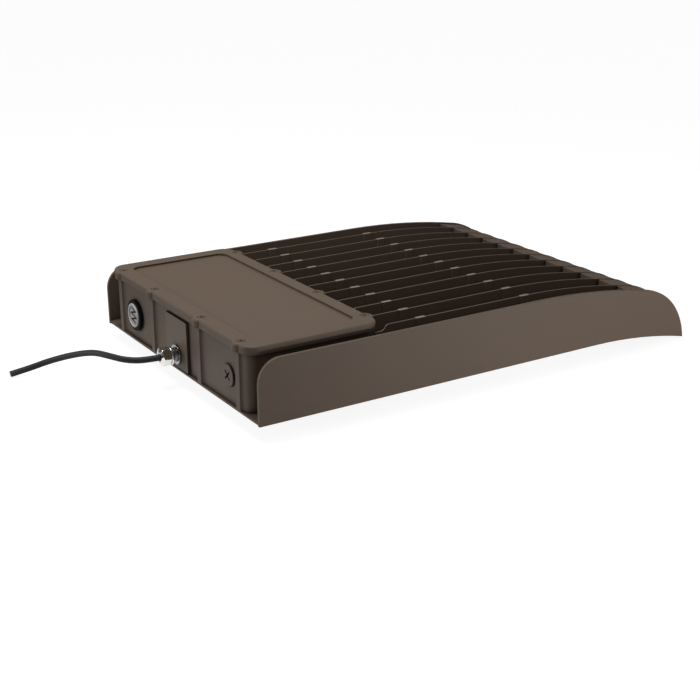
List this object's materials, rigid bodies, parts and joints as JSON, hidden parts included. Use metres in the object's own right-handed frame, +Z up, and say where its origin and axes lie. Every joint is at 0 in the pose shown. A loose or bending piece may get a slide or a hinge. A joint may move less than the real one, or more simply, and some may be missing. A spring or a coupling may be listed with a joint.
{
  "type": "led flood light",
  "caption": "Bronze die-cast LED flood light: finned heat sink with a drooping nose, screwed driver box, dusk sensor, cable gland and cord.",
  "frame": {"origin": "centre of the arm's bolt pattern, on the plane of the boss end faces, which is also the floor plane that the nose tips touch", "axes": "+X from the driver end to the nose, +Y across, +Z up through the fins"},
  "size_m": [0.5816, 0.3, 0.0732],
  "materials": {
    "bronze_casting": "satin dark bronze powder coat on die-cast aluminium",
    "dark_screw": "blackened steel",
    "steel_screw": "zinc plated",
    "brass_screw": "turned brass",
    "plated_brass": "bright nickel plate on brass",
    "grey_nylon": "moulded",
    "black_rubber": "moulded",
    "grey_rubber": "silicone",
    "cord_sheath": "satin",
    "core_sheath": "satin",
    "earth_sheath": "satin",
    "harness_sheath": "satin",
    "black_plastic": "moulded",
    "lens_white": "translucent",
    "sensor_disc": "printed track",
    "driver_case": "matt, potted",
    "cream_plastic": "moulded",
    "board_white": "white solder mask",
    "led_yellow": "phosphor",
    "clear_lens": "clear polycarbonate"
  },
  "bodies": {
    "housing": {"box_screws": "steel_screw", "driver_box": "bronze_casting", "driver_cores": "core_sheath", "driver_screws": "steel_screw", "earth_core": "earth_sheath", "earth_screw": "brass_screw", "entry_gasket": "black_rubber", "entry_plate": "bronze_casting", "frame_screws": "steel_screw", "gland_body": "plated_brass", "gland_collar": "plated_brass", "gland_locknut": "plated_brass", "gland_seal": "black_rubber", "grommet_far": "black_rubber", "grommet_near": "black_rubber", "harness_far": "harness_sheath", "harness_near": "harness_sheath", "heat_sink": "bronze_casting", "led_board_far": "board_white", "led_board_near": "board_white", "led_driver": "driver_case", "leds": "led_yellow", "lens_far": "clear_lens", "lens_frame": "bronze_casting", "lens_gasket_far": "grey_rubber", "lens_gasket_near": "grey_rubber", "lens_near": "clear_lens", "photocell_body": "black_plastic", "photocell_cores": "core_sheath", "photocell_disc": "sensor_disc", "photocell_lens": "lens_white", "photocell_nut": "black_plastic", "photocell_seal": "black_rubber", "supply_cord": "cord_sheath", "supply_cores": "core_sheath", "terminal_block": "cream_plastic", "terminal_screws": "steel_screw"},
    "lid": {"lid": "bronze_casting", "lid_gasket": "grey_rubber", "lid_screws": "dark_screw"},
    "gland_ring": {"gland_ring": "grey_nylon"},
    "gland_nut": {"gland_nut": "plated_brass"},
    "plug_seal": {"plug_seal": "black_rubber"},
    "plug": {"conduit_plug": "bronze_casting"}
  },
  "joints": [
    {"name": "lid_lift", "type": "slide", "parent": "housing", "child": "lid", "axis": [0, 0, 1], "range_m": [0, 0.06]},
    {"name": "gland_draw", "type": "slide", "parent": "housing", "child": "gland_ring", "axis": [-1, 0, 0], "range_m": [0, 0.003]},
    {"name": "gland_nut_turn", "type": "hinge", "parent": "gland_ring", "child": "gland_nut", "pos_m": [-0.078, -0.0045, 0.0286], "axis": [-1, 0, 0], "range_deg": [0, 720]},
    {"name": "plug_draw", "type": "slide", "parent": "housing", "child": "plug_seal", "axis": [-1, 0, 0], "range_m": [0, 0.006]},
    {"name": "plug_turn", "type": "hinge", "parent": "plug_seal", "child": "plug", "pos_m": [-0.062, -0.097, 0.0389], "axis": [-1, 0, 0], "range_deg": [0, 1440]}
  ],
  "couplings": [
    {"joint": "gland_draw", "follows": "gland_nut_turn", "m_per_rad": 0.00023873},
    {"joint": "plug_draw", "follows": "plug_turn", "m_per_rad": 0.00023873}
  ]
}
